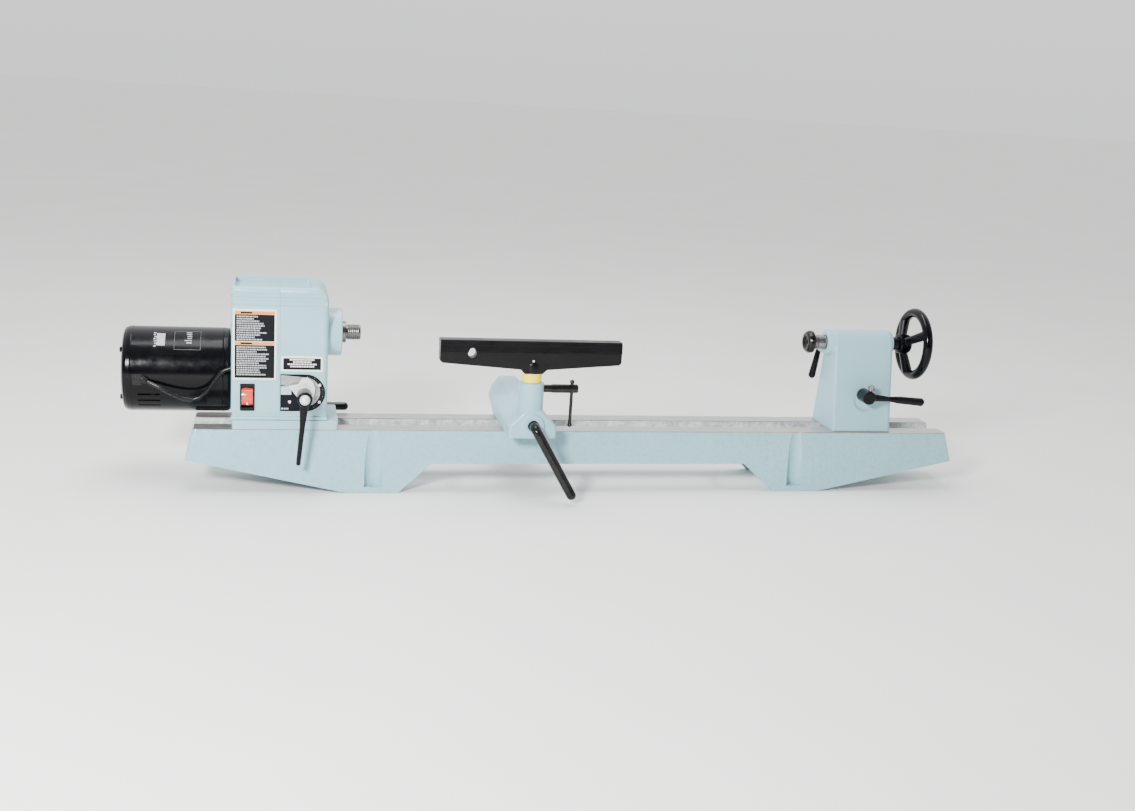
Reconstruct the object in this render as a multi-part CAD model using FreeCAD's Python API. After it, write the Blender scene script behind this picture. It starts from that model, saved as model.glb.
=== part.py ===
# Bench wood lathe: cast bed, swivelling belt-drive headstock, banjo with tool rest, tailstock.
# Frame: +X along the bed towards the tailstock, +Y to the back, +Z up; millimetres.
# Origin: middle of the bench-bolt pattern, on the plane that the bed's feet stand on.
import FreeCAD, Part
import math
import os

Vec = FreeCAD.Vector
os.makedirs("parts", exist_ok=True)

# ---- driving dimensions -------------------------------------------------------------------
WAY_Z = 103.0            # top of the ways
SWING_R = 152.4          # spindle axis above the ways (12 in swing)
AXIS_Z = WAY_Z + SWING_R
RUN = 0.05               # radial clearance of a running fit
GAP = 0.3                # clearance between parts that move past each other
SLIDE_GAP = 0.1          # clearance under the parts that slide on the ways

BED_TOP_X = 656.3        # half length of the ways
BED_END_X = 669.5        # half length at the lower corner of the end
BED_END_Z = 53.5
FOOT_OUT_X = 414.4
FOOT_IN_X = 328.0
ARCH_X = 274.4
ARCH_Z = 47.8
BED_TOP_Y = 55.4         # half width at the ways
BED_FOOT_Y = 70.8        # half width at the feet
BED_WALL = 9.0
WAY_THICK = 18.0
SLOT_Y = 21.6            # half width of the slot between the ways
BOLT_X = 369.5           # bench bolts
BOLT_Y = 62.5
BOLT_R = 5.5
POCKET_R = 15.0
POCKET_Y = 68.3
POCKET_Z = 9.0

HEAD_X0, HEAD_X1 = -598.0, -446.0
HEAD_SPLIT = -522.0
HEAD_Y = 55.0
HEAD_Z0, HEAD_Z1 = 119.2, 335.0
HEAD_WALL = 7.0
TRAY_DEPTH = 8.0
SWIVEL_X = -512.0
BASE_X0, BASE_X1 = -596.0, -428.0
BASE_Z = 118.0
LEVER_X, LEVER_Z = -483.0, 164.0

MOTOR_Y, MOTOR_Z = 60.0, 176.0
MOTOR_R = 69.75
MOTOR_X0 = -771.0
BELT_X = -540.0          # middle plane of the belt
SPINDLE_PITCH_R = 41.0
MOTOR_PITCH_R = 16.4
SHEAVE_TAN = 0.268       # 15 degree side of a sheave

BANJO_X, BANJO_Y = -116.5, -85.0   # post socket
CAM_X, CAM_Z = -114.0, 125.6       # cam rod through the banjo
POST_R = 12.7
SOCKET_TOP = 195.0

TAIL_X0, TAIL_X1 = 440.0, 551.0
TAIL_R = 24.0            # round top of the tailstock
TAIL_LOCK_X, TAIL_LOCK_Z = 493.0, 170.0
TAIL_LOCK_DROP = 4.4                # the arm falls this many degrees towards its end
WHEEL_X = 600.0


# ---- shape helpers ------------------------------------------------------------------------
def box(x0, x1, y0, y1, z0, z1):
    return Part.makeBox(x1 - x0, y1 - y0, z1 - z0, Vec(x0, y0, z0))


def rod(start, end, r):
    """Cylinder of radius r from one point to another."""
    a, b = Vec(*start), Vec(*end)
    return Part.makeCylinder(r, (b - a).Length, a, b - a)


def cone(start, end, r0, r1):
    a, b = Vec(*start), Vec(*end)
    return Part.makeCone(r0, r1, (b - a).Length, a, b - a)


def ball(centre, r):
    return Part.makeSphere(r, Vec(*centre))


def prism(points, extrude):
    """Solid from a closed outline of (x, y, z) points, extruded along a vector."""
    wire = Part.makePolygon([Vec(*p) for p in points + points[:1]])
    return Part.Face(wire).extrude(Vec(*extrude))


def turned(profile, y, z):
    """Solid of revolution about the X axis through (y, z); profile holds (x, radius) points."""
    points = [Vec(x, y, z + r) for x, r in profile]
    wire = Part.makePolygon(points + points[:1])
    return Part.Face(wire).revolve(Vec(0, y, z), Vec(1, 0, 0), 360)


def ring(start, end, r_out, r_in):
    return rod(start, end, r_out).cut(rod(start, end, r_in))


def hexagon(start, end, across_flats):
    """Hexagonal prism between two points on one of the main axes."""
    a, b = Vec(*start), Vec(*end)
    corner_r = across_flats / math.sqrt(3)
    side = Vec(0, 1, 0) if abs(b.x - a.x) > 1e-6 else Vec(1, 0, 0)
    other = (b - a).normalize().cross(side)
    points = []
    for i in range(6):
        angle = math.radians(60 * i)
        points.append(a + side * (corner_r * math.cos(angle)) + other * (corner_r * math.sin(angle)))
    wire = Part.makePolygon(points + points[:1])
    return Part.Face(wire).extrude(b - a)


def pick(shape, test):
    """Edges whose middle point passes the test."""
    found = []
    for edge in shape.Edges:
        middle = edge.valueAt((edge.FirstParameter + edge.LastParameter) / 2)
        if test(edge, middle):
            found.append(edge)
    return found


def along(edge, axis):
    """True for a straight edge that runs along X, Y or Z."""
    if not isinstance(edge.Curve, Part.Line):
        return False
    direction = edge.Curve.Direction
    return abs(getattr(direction, axis)) > 0.999


def join(*shapes):
    result = shapes[0]
    for shape in shapes[1:]:
        result = result.fuse(shape)
    return result.removeSplitter()


def save(name, *shapes):
    solids = []
    for shape in shapes:
        solids.extend(shape.Solids)
    for solid in solids:
        if not solid.isValid() or solid.Volume <= 0:
            print("BAD SOLID in", name, solid.isValid(), solid.Volume)
    result = solids[0] if len(solids) == 1 else Part.makeCompound(solids)
    result.exportStep("parts/" + name + ".step")


# ---- bed ----------------------------------------------------------------------------------
def half_width(z):
    return BED_FOOT_Y + (BED_TOP_Y - BED_FOOT_Y) * z / WAY_Z


def make_bed():
    outline = [(-BED_TOP_X, WAY_Z), (-BED_END_X, BED_END_Z), (-FOOT_OUT_X, 0), (-FOOT_IN_X, 0),
               (-ARCH_X, ARCH_Z), (ARCH_X, ARCH_Z), (FOOT_IN_X, 0), (FOOT_OUT_X, 0),
               (BED_END_X, BED_END_Z), (BED_TOP_X, WAY_Z)]
    side = prism([(x, -100, z) for x, z in outline], (0, 200, 0))
    section = [(-700, -BED_FOOT_Y, 0), (-700, -BED_TOP_Y, WAY_Z),
               (-700, BED_TOP_Y, WAY_Z), (-700, BED_FOOT_Y, 0)]
    bed = side.common(prism(section, (1400, 0, 0)))
    corners = pick(bed, lambda e, m: abs(m.y) > 50 and abs(m.x) > 655 and abs(m.z - 78) < 5)
    bed = bed.makeFillet(5, corners)
    roof = WAY_Z - WAY_THICK
    inner_top = half_width(roof) - BED_WALL
    inner_foot = half_width(-1) - BED_WALL
    end = BED_TOP_X - 14
    hollow = prism([(-end, -inner_foot, -1), (-end, -inner_top, roof),
                    (-end, inner_top, roof), (-end, inner_foot, -1)], (2 * end, 0, 0))
    for x in (-BOLT_X, BOLT_X):
        for side_y in (-1, 1):
            hollow = hollow.cut(rod((x, side_y * POCKET_Y, -2), (x, side_y * POCKET_Y, roof), POCKET_R + 8))
    for x in (-430, -230, 0, 230, 430):
        hollow = hollow.cut(box(x - 5, x + 5, -70, 70, 0, 56))
    bed = bed.cut(hollow)
    bed = bed.cut(box(-700, 700, -SLOT_Y, SLOT_Y, roof - 0.01, WAY_Z + 1))
    for x in (-BOLT_X, BOLT_X):
        for side_y in (-1, 1):
            y = side_y * POCKET_Y
            bed = bed.cut(rod((x, y, POCKET_Z), (x, y, WAY_Z + 1), POCKET_R))
            bed = bed.cut(rod((x, side_y * BOLT_Y, -1), (x, side_y * BOLT_Y, POCKET_Z + 1), BOLT_R))
    save("bed", bed)


# ---- headstock base -----------------------------------------------------------------------
BASE_PIN_R = 35.0
LOCK_Z = 109.0
LOCK_R = 4.0
LOCK_ROD_R = 7.0
LOCK_ROD_Y = 81.0
LOCK_TIP_X = -404.0


def make_headstock_base():
    plate = box(BASE_X0, BASE_X1, -HEAD_Y, HEAD_Y, WAY_Z + SLIDE_GAP, BASE_Z)
    plate = plate.makeFillet(4, pick(plate, lambda e, m: along(e, "z")))
    # the back left corner clears the motor's front bell when the headstock swivels
    corner = [(BASE_X0 - 1, 14, 90), (BASE_X0 + 36, HEAD_Y + 1, 90), (BASE_X0 - 1, HEAD_Y + 1, 90)]
    plate = plate.cut(prism(corner, (0, 0, 40)))
    tenon = box(BASE_X0 + 15, BASE_X1 - 15, -SLOT_Y + GAP, SLOT_Y - GAP, 92, WAY_Z + 1)
    pin = rod((SWIVEL_X, 0, BASE_Z - 1), (SWIVEL_X, 0, BASE_Z + 8), BASE_PIN_R)
    base = join(plate, tenon, pin)
    base = base.cut(box(SWIVEL_X - 13, SWIVEL_X + 13, -12, 12, 90, BASE_Z + 4))
    base = base.cut(rod((SWIVEL_X, -20, LOCK_Z), (SWIVEL_X, HEAD_Y + 1, LOCK_Z), LOCK_R + RUN))
    save("headstock_base", base)
    eye = ring((SWIVEL_X, -8, LOCK_Z), (SWIVEL_X, 8, LOCK_Z), 9, LOCK_R + RUN)
    stem = rod((SWIVEL_X, 0, 62), (SWIVEL_X, 0, LOCK_Z - 6), 6)
    plate = box(SWIVEL_X - 45, SWIVEL_X + 45, -40, 40, 70, WAY_Z - WAY_THICK - GAP)
    save("headstock_clamp_plate", plate.cut(rod((SWIVEL_X, 0, 60), (SWIVEL_X, 0, 90), 6.02)))
    nut = hexagon((SWIVEL_X, 0, 60), (SWIVEL_X, 0, 70), 19)
    save("headstock_eyebolt", join(eye, stem), nut.cut(rod((SWIVEL_X, 0, 61.9), (SWIVEL_X, 0, 71), 6.02)))


def make_headstock_lock_rod():
    """Eccentric shaft that leaves the back of the base, with a handle bent towards +X."""
    bend = 16.0
    corner = Vec(SWIVEL_X, LOCK_ROD_Y, LOCK_Z)
    arc_mid = corner + Vec(bend, -bend, 0) + Vec(-1, 1, 0).normalize() * bend
    start = Vec(SWIVEL_X, HEAD_Y + 4, LOCK_Z)
    end = Vec(LOCK_TIP_X - LOCK_ROD_R, LOCK_ROD_Y, LOCK_Z)
    path = Part.Wire([
        Part.LineSegment(start, corner + Vec(0, -bend, 0)).toShape(),
        Part.Arc(corner + Vec(0, -bend, 0), arc_mid, corner + Vec(bend, 0, 0)).toShape(),
        Part.LineSegment(corner + Vec(bend, 0, 0), end).toShape()])
    circle = Part.Wire([Part.Circle(start, Vec(0, 1, 0), LOCK_ROD_R).toShape()])
    handle = path.makePipeShell([circle], True, False)
    shaft = rod((SWIVEL_X, -18, LOCK_Z), (SWIVEL_X, HEAD_Y + 5, LOCK_Z), LOCK_R)
    save("headstock_lock_rod", join(handle, ball(tuple(end), LOCK_ROD_R), shaft))


# ---- headstock ----------------------------------------------------------------------------
FLANGE_R = 39.0
FLANGE_X = -423.0
BEARING_R = 26.0
GUARD_Y, GUARD_X1 = 113.0, -484.0
GUARD_Z0, GUARD_Z1 = 124.0, 288.0


def head_outer(inset):
    """Outside of the headstock, or the inside of its walls when inset is above 0."""
    x0, x1 = HEAD_X0 + inset, HEAD_X1 - inset
    y = HEAD_Y - inset
    z0, z1 = HEAD_Z0 + inset, HEAD_Z1 - inset
    if inset > 0:
        z1 -= TRAY_DEPTH
    body = box(x0, x1, -y, y, z0, z1)
    top = pick(body, lambda e, m: along(e, "y") and m.x > x1 - 1 and m.z > z1 - 1)
    body = body.makeFillet(22 - inset, top)
    body = body.makeFillet(8 - inset, pick(body, lambda e, m: along(e, "z")))
    guard = box(x0, GUARD_X1 - inset, 20, GUARD_Y - inset, GUARD_Z0 + inset, GUARD_Z1 - inset)
    back = pick(guard, lambda e, m: along(e, "x") and m.y > GUARD_Y - inset - 1)
    guard = guard.makeFillet(40 - inset, back)
    return body.fuse(guard).removeSplitter()


def head_shell():
    shell = head_outer(0).cut(head_outer(HEAD_WALL))
    # plinth at the foot, with a groove above it on the front and left faces
    plinth = box(HEAD_X0, HEAD_X1, -HEAD_Y, HEAD_Y, HEAD_Z0, 124)
    plinth = plinth.cut(box(HEAD_X0 + 20, HEAD_X1 - 20, -HEAD_Y + 12, HEAD_Y - 12, HEAD_Z0 - 1, 125))
    shell = join(shell, plinth)
    for z0, z1, depth in ((124, 130.5, 2.0), (305, 314, 2.0), (317.5, 325, 2.0)):
        shell = shell.cut(box(HEAD_X0 - 1, HEAD_X1 + 1, -HEAD_Y - 1, -HEAD_Y + depth, z0, z1))
        shell = shell.cut(box(HEAD_X0 - 1, HEAD_X0 + depth, -HEAD_Y - 1, HEAD_Y + 1, z0, z1))
    # tool tray sunk in the top
    tray = box(HEAD_X0 + 5, HEAD_X1 - 27, -HEAD_Y + 5, HEAD_Y - 5, HEAD_Z1 - TRAY_DEPTH, HEAD_Z1 + 1)
    shell = shell.cut(tray.makeFillet(5, pick(tray, lambda e, m: along(e, "z"))))
    # pads for the bearings and the swivel pin
    flange = rod((HEAD_X1 - 8, 0, AXIS_Z), (FLANGE_X, 0, AXIS_Z), FLANGE_R)
    flange = flange.makeFillet(2.5, pick(flange, lambda e, m: m.x > FLANGE_X - 0.1))
    pad = rod((HEAD_X0 + 1, 0, AXIS_Z), (HEAD_X0 + 14, 0, AXIS_Z), 30)
    floor = rod((SWIVEL_X, 0, BASE_Z + RUN), (SWIVEL_X, 0, HEAD_Z0 + 14), 44)
    lever_pad = rod((LEVER_X, -HEAD_Y + 3, LEVER_Z), (LEVER_X, -HEAD_Y + 20, LEVER_Z), 15)
    shell = join(shell, flange, pad, floor, lever_pad)
    shell = shell.cut(rod((-455, 0, AXIS_Z), (-427, 0, AXIS_Z), BEARING_R + 0.02))
    shell = shell.cut(rod((-430, 0, AXIS_Z), (-420, 0, AXIS_Z), 18.6))
    shell = shell.cut(rod((HEAD_X0 - 1, 0, AXIS_Z), (HEAD_X0 + 3, 0, AXIS_Z), 14))
    shell = shell.cut(rod((HEAD_X0 + 2, 0, AXIS_Z), (HEAD_X0 + 15, 0, AXIS_Z), 20.02))
    shell = shell.cut(rod((SWIVEL_X, 0, BASE_Z - 1), (SWIVEL_X, 0, BASE_Z + 9), BASE_PIN_R + RUN))
    shell = shell.cut(rod((LEVER_X, -60, LEVER_Z), (LEVER_X, -HEAD_Y + 21, LEVER_Z), 6 + RUN))
    shell = shell.cut(box(-582.4, -562.4, -56, -40, 135.7, 177.2))
    shell = shell.cut(rod((HEAD_X0 - 1, MOTOR_Y, MOTOR_Z), (HEAD_X0 + 9, MOTOR_Y, MOTOR_Z), 24))
    shell = shell.cut(rod((HEAD_X0 - 1, -22, 196), (HEAD_X0 + 9, -22, 196), 5))
    shell = shell.cut(rod((-470, HEAD_Y - 9, 140), (-470, HEAD_Y + 1, 140), 5))
    return shell


def make_headstock():
    shell = head_shell()
    left = shell.common(box(-700, HEAD_SPLIT - 0.15, -80, 140, 100, 350))
    right = shell.common(box(HEAD_SPLIT + 0.15, -400, -80, 140, 100, 350))
    save("headstock_drive_housing", left)
    save("headstock_casting", right)
    front = ring((-442, 0, AXIS_Z), (-427.2, 0, AXIS_Z), BEARING_R, 12.5 + RUN)
    rear = ring((HEAD_X0 + 3, 0, AXIS_Z), (HEAD_X0 + 14, 0, AXIS_Z), 20, 10 + RUN)
    save("spindle_bearings", front, rear)


LABEL_T = 0.5


def make_labels():
    front = -HEAD_Y
    save("warning_plate", box(-595.5, -527.4, front - LABEL_T, front, 184.8, 299.5))
    save("notice_plate", box(-520.0, -454.0, front - LABEL_T, front, 199.4, 224.5))
    x0, z_mid, r = -520.8, 164.4, 30.5
    plate = box(x0, -480.3, front - 0.8, front, z_mid - r, z_mid + r)
    plate = plate.fuse(rod((-480.3, front, z_mid), (-480.3, front - 0.8, z_mid), r)).removeSplitter()
    hole = rod((LEVER_X, front + 1, LEVER_Z), (LEVER_X, front - 2, LEVER_Z), 9.02)
    screws = []
    for x, z in ((-458.8, 177.6), (-458.7, 149.5), (-506, 149.6)):
        plate = plate.cut(rod((x, front + 1, z), (x, front - 2, z), 1.25))
        head = rod((x, front - 0.8, z), (x, front - 1.8, z), 2.2)
        screws.append(join(head, rod((x, front, z), (x, front - 1, z), 1.2)))
    save("speed_dial_plate", plate.cut(hole))
    save("dial_screws", *screws)


SWITCH_Z = 156.5


def make_switch():
    bezel = box(-582.3, -562.5, -56, -41, 135.8, 177.1)
    lip = box(-583.8, -561.0, -57, -HEAD_Y, 134.3, 178.6)
    lip = lip.makeFillet(1.2, pick(lip, lambda e, m: along(e, "y")))
    bezel = join(bezel, lip).cut(box(-581.4, -563.4, -60, -43, 139.5, 173.5))
    save("switch_bezel", bezel)
    rocker = rod((-581.1, -46.5, SWITCH_Z), (-563.7, -46.5, SWITCH_Z), 15.5)
    rocker = rocker.common(box(-582, -563, -62.8, -46.5, 141.5, 171.5))
    save("switch_rocker", rocker)


def make_belt_drive():
    """Spindle, motor rotor, the two V sheaves and the belt between them."""
    belt_half, belt_out, belt_in = 8.5, 4.0, 5.0

    def belt_width(r, pitch):
        return belt_half + (r - pitch - belt_out) * SHEAVE_TAN

    def sheave(pitch, r_out, hub_r, bore_r, side, y, z):
        base = BELT_X + side * (belt_width(hub_r, pitch) + GAP)
        lip = BELT_X + side * (belt_width(r_out, pitch) + GAP)
        back = lip + side * 4
        hub = back + side * 6
        profile = [(base, bore_r), (base, hub_r), (lip, r_out), (back, r_out),
                   (back, hub_r + 6), (hub, hub_r + 6), (hub, bore_r)]
        return turned(profile, y, z)

    save("spindle_sheaves", *[sheave(SPINDLE_PITCH_R, 47, 13, 10.01, side, 0, AXIS_Z) for side in (-1, 1)])
    save("motor_sheaves", *[sheave(MOTOR_PITCH_R, 40, 11, 8.01, side, MOTOR_Y, MOTOR_Z) for side in (-1, 1)])

    dist = math.hypot(MOTOR_Y, MOTOR_Z - AXIS_Z)
    along_belt = Vec(0, MOTOR_Y / dist, (MOTOR_Z - AXIS_Z) / dist)
    across = Vec(0, -along_belt.z, along_belt.y)
    lean = math.acos((SPINDLE_PITCH_R - MOTOR_PITCH_R) / dist)
    top, foot = Vec(BELT_X, 0, AXIS_Z), Vec(BELT_X, MOTOR_Y, MOTOR_Z)

    def loop(offset):
        """Outline of the belt's loop at a distance from its pitch line."""
        edges, ends = [], []
        for centre, r, span in ((top, SPINDLE_PITCH_R, math.pi), (foot, MOTOR_PITCH_R, 0)):
            points = []
            for angle in (lean, span, -lean):
                direction = along_belt * math.cos(angle) + across * math.sin(angle)
                points.append(centre + direction * (r + offset))
            edges.append(Part.Arc(*points).toShape())
            ends.append(points)
        edges.append(Part.LineSegment(ends[0][0], ends[1][0]).toShape())
        edges.append(Part.LineSegment(ends[0][2], ends[1][2]).toShape())
        return Part.Wire(Part.__sortEdges__(edges))

    def slab(offset):
        """Block of the belt's width, out to a distance from its pitch line."""
        wire = loop(offset)
        wire.translate(Vec(-belt_half, 0, 0))
        return Part.Face(wire).extrude(Vec(2 * belt_half, 0, 0))

    solid = slab(belt_out).cut(slab(-belt_in))
    # sides of the belt follow the sheaves
    for side in (-1, 1):
        for centre, pitch in ((top, SPINDLE_PITCH_R), (foot, MOTOR_PITCH_R)):
            x_out = BELT_X + side * belt_width(pitch + belt_out, pitch)
            x_in = BELT_X + side * belt_width(pitch - belt_in, pitch)
            far = BELT_X + side * 20
            reach = pitch + belt_out
            outer = [(x_in, pitch - belt_in), (x_out, reach), (far, reach), (far, pitch - belt_in)]
            solid = solid.cut(turned(outer, centre.y, centre.z))
    save("drive_belt", solid)

    z = AXIS_Z
    nose_r = 12.7
    profile = [(-600, 0), (-600, 10), (-446, 10), (-446, 12.5), (-426.6, 12.5), (-426.6, 15.5), (-423, 15.5),
               (-423, 17.5), (-416, 17.5), (-416, 11.4), (-413.5, 11.4), (-413.5, nose_r),
               (-393.2, nose_r), (-392, 11.5), (-392, 0)]
    spindle = turned(profile, 0, z)
    spindle = spindle.cut(rod((-601, 0, z), (-391, 0, z), 4.76))
    spindle = spindle.cut(cone((-456, 0, z), (-391.9, 0, z), 7.27, 8.9))
    save("spindle", spindle)
    nut = hexagon((-582, 0, z), (-575, 0, z), 30)
    save("spindle_locknut", nut.cut(rod((-583, 0, z), (-570, 0, z), 10.02)))


def make_motor():
    y, z = MOTOR_Y, MOTOR_Z
    shell_x0, shell_x1 = -757.0, -612.0
    tube = ring((shell_x0, y, z), (shell_x1, y, z), MOTOR_R, MOTOR_R - 3)
    for below in (25, 36, 47):
        slot = box(-745, -711, -1.6, 1.6, MOTOR_R - 8, MOTOR_R + 2)
        slot.rotate(Vec(0, 0, 0), Vec(1, 0, 0), 90 + below)
        slot.translate(Vec(0, y, z))
        tube = tube.cut(slot)
    save("motor_shell", tube)
    r = MOTOR_R
    rear = turned([(shell_x0, 0), (shell_x0, r), (-763, r - 0.6), (-768, r - 3), (-770.3, r - 8),
                   (MOTOR_X0, r - 14), (MOTOR_X0, 0)], y, z)
    rear = rear.cut(rod((-767, y, z), (-756, y, z), 17.02))
    front = turned([(shell_x1, 0), (shell_x1, r), (-604, r - 0.6), (-600.5, r - 3), (HEAD_X0, r - 6),
                    (HEAD_X0, 0)], y, z)
    front = front.cut(rod((-613, y, z), (-600, y, z), 17.02)).cut(rod((-613, y, z), (-590, y, z), 9))
    nuts = []
    for i in range(4):
        angle = math.radians(45 + 90 * i)
        by, bz = y + 55 * math.cos(angle), z + 55 * math.sin(angle)
        hole = rod((-780, by, bz), (-590, by, bz), 2.55)
        rear, front = rear.cut(hole), front.cut(hole)
        stem = rod((MOTOR_X0 + 1, by, bz), (HEAD_X0 - 1, by, bz), 2.5)
        nuts.append(join(stem, hexagon((MOTOR_X0 - 3, by, bz), (MOTOR_X0 + 1.3, by, bz), 8)))
    save("motor_rear_bell", rear.cut(join(*nuts)))
    save("motor_front_bell", front)
    save("motor_through_bolts", *nuts)
    bearings = [ring((-766.5, y, z), (-757, y, z), 17, 7 + RUN),
                ring((-612, y, z), (-601, y, z), 17, 8 + RUN)]
    save("motor_bearings", *bearings)
    stator = ring((-725, y, z), (-645, y, z), 50, 34)
    feet = ring((-725, y, z), (-720, y, z), MOTOR_R - 3.02, 50)
    save("motor_stator", join(stator, feet).cut(join(*nuts)))
    save("motor_rotor", ring((-722, y, z), (-648, y, z), 33, 8.01))
    shaft = turned([(-766, 0), (-766, 7), (-755, 7), (-755, 8), (-512, 8), (-512, 0)], y, z)
    save("motor_shaft", shaft)
    plate = ring((-725, y, z), (-640, y, z), MOTOR_R + 0.6, MOTOR_R + 0.02)
    wedge = prism([(-725, y, z), (-725, y - 90, z + 52), (-725, y - 90, z + 100), (-725, y - 28, z + 100)],
                  (85, 0, 0))
    save("motor_nameplate", plate.common(wedge))


# ---- motor cable: points of its route, from the motor's connector to the headstock ----------
CABLE_R = 3.2
CABLE_ROUTE = [(-729, -14, 170), (-712, -19, 163), (-692, -21, 152), (-671, -22, 143.5),
               (-652, -22, 143.5), (-636, -22, 157), (-623, -22, 178), (-611, -22, 191.5), (-598, -22, 196)]


def make_cable():
    points = [Vec(*p) for p in CABLE_ROUTE]
    edges = []
    start = points[0]
    length = 0.0
    for i in range(1, len(points) - 1):
        before, corner, after = points[i - 1], points[i], points[i + 1]
        to_before, to_after = (before - corner), (after - corner)
        trim = 0.45 * min(to_before.Length, to_after.Length)
        a = corner + to_before.normalize() * trim
        b = corner + to_after.normalize() * trim
        turn = math.pi - to_before.getAngle(to_after)
        radius = trim / math.tan(turn / 2)
        bisector = (to_before + to_after).normalize()
        centre = corner + bisector * (radius / math.cos(turn / 2))
        middle = centre - bisector * radius
        edges.append(Part.LineSegment(start, a).toShape())
        edges.append(Part.Arc(a, middle, b).toShape())
        length += (a - start).Length + radius * turn
        start = b
        print("cable bend radius %.1f mm" % radius)
    edges.append(Part.LineSegment(start, points[-1]).toShape())
    length += (points[-1] - start).Length
    path = Part.Wire(edges)
    first = (points[1] - points[0]).normalize()
    circle = Part.Wire([Part.Circle(points[0], first, CABLE_R).toShape()])
    tube = path.makePipeShell([circle], True, False)
    print("cable length %.1f, volume ratio %.4f" % (length, tube.Volume / (math.pi * CABLE_R ** 2 * length)))
    save("motor_cable", tube)
    inward = (points[0] - points[1]).normalize()
    socket = points[0] + inward * 9
    relief = cone(tuple(points[0]), tuple(socket), 4.4, 6.0)
    body = box(-752, -737.5, -14, 6, 164, 182)
    motor = rod((-757, MOTOR_Y, MOTOR_Z), (-612, MOTOR_Y, MOTOR_Z), MOTOR_R + 0.02)
    save("cable_connector", join(relief, body).cut(motor))
    gland = ring((-597.9, -22, 196), (-590.5, -22, 196), 4.95, CABLE_R)
    save("cable_gland", gland.cut(tube))
    back_x, back_z = -470, 140
    inlet = rod((back_x, HEAD_Y, back_z), (back_x, HEAD_Y + 9, back_z), 8)
    inlet = join(inlet, rod((back_x, HEAD_Y - 6, back_z), (back_x, HEAD_Y + 1, back_z), 4.95))
    hole = rod((back_x, HEAD_Y - 9, back_z), (back_x, HEAD_Y + 12, back_z), 3.5)
    save("mains_inlet_gland", inlet.cut(hole))


# ---- speed lever --------------------------------------------------------------------------
LEVER_TIP = (-491.5, -95.0, 57.5)


def make_speed_lever():
    shaft = join(rod((LEVER_X, -HEAD_Y + 24, LEVER_Z), (LEVER_X, -101, LEVER_Z), 6),
                 rod((LEVER_X, -HEAD_Y + 21, LEVER_Z), (LEVER_X, -HEAD_Y + 28, LEVER_Z), 12))
    save("speed_lever_shaft", shaft)
    # sector pointer: a hub disc with a blade that fans out to the upper left
    y0, y1 = -HEAD_Y - 7.5, -HEAD_Y - 6.0
    cx, cz = LEVER_X, LEVER_Z
    blade = prism([(cx - 6, y1, cz - 12), (cx - 25, y1, cz + 13),
                   (cx - 10, y1, cz + 16), (cx - 4, y1, cz + 26),
                   (cx + 5, y1, cz + 27), (cx + 13, y1, cz + 21),
                   (cx + 17, y1, cz + 10), (cx + 15, y1, cz - 4)],
                  (0, y0 - y1, 0))
    collar = rod((cx, -HEAD_Y - 2, cz), (cx, -HEAD_Y - 14, cz), 10)
    save("speed_pointer", join(blade, collar).cut(rod((cx, -40, cz), (cx, -90, cz), 6.02)))
    hub = rod((cx, -HEAD_Y - 14.2, cz), (cx, -103, cz), 12)
    hub = hub.makeChamfer(1.5, pick(hub, lambda e, m: m.y < -102))
    tip = LEVER_TIP
    root = (cx - 0.5, tip[1], cz - 8)
    neck = (cx - 3.2, tip[1], cz - 46)
    arm = join(cone(root, neck, 7.5, 4.3), ball(neck, 4.3), cone(neck, tip, 4.3, 3.7), ball(tip, 3.9))
    lever = join(hub, arm).cut(rod((cx, -50, cz), (cx, -110, cz), 6.02))
    save("speed_lever", lever)
    dome = ball((cx, -102.8, cz), 8.2).common(box(cx - 20, cx + 20, -112, -103.05, cz - 20, cz + 20))
    save("speed_lever_nut", dome)


# ---- tool rest ----------------------------------------------------------------------------
CAM_BORE = 9.0
EYE_HALF = 9.0


def make_rest_clamp():
    roof = WAY_Z - WAY_THICK
    plate = box(CAM_X - 38, CAM_X + 38, -40, 40, 71, roof - GAP)
    save("rest_clamp_plate", plate.cut(rod((CAM_X, 0, 60), (CAM_X, 0, 90), 7 + RUN)))
    eye = ring((CAM_X, -EYE_HALF, CAM_Z), (CAM_X, EYE_HALF, CAM_Z), 13, CAM_BORE + RUN)
    stem = rod((CAM_X, 0, 61), (CAM_X, 0, CAM_Z - 11), 7)
    head = hexagon((CAM_X, 0, 58.5), (CAM_X, 0, 70.6), 22)
    cam_hole = rod((CAM_X, -20, CAM_Z), (CAM_X, 20, CAM_Z), CAM_BORE + RUN)
    save("rest_eyebolt", join(eye, stem, head).cut(cam_hole))


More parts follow.
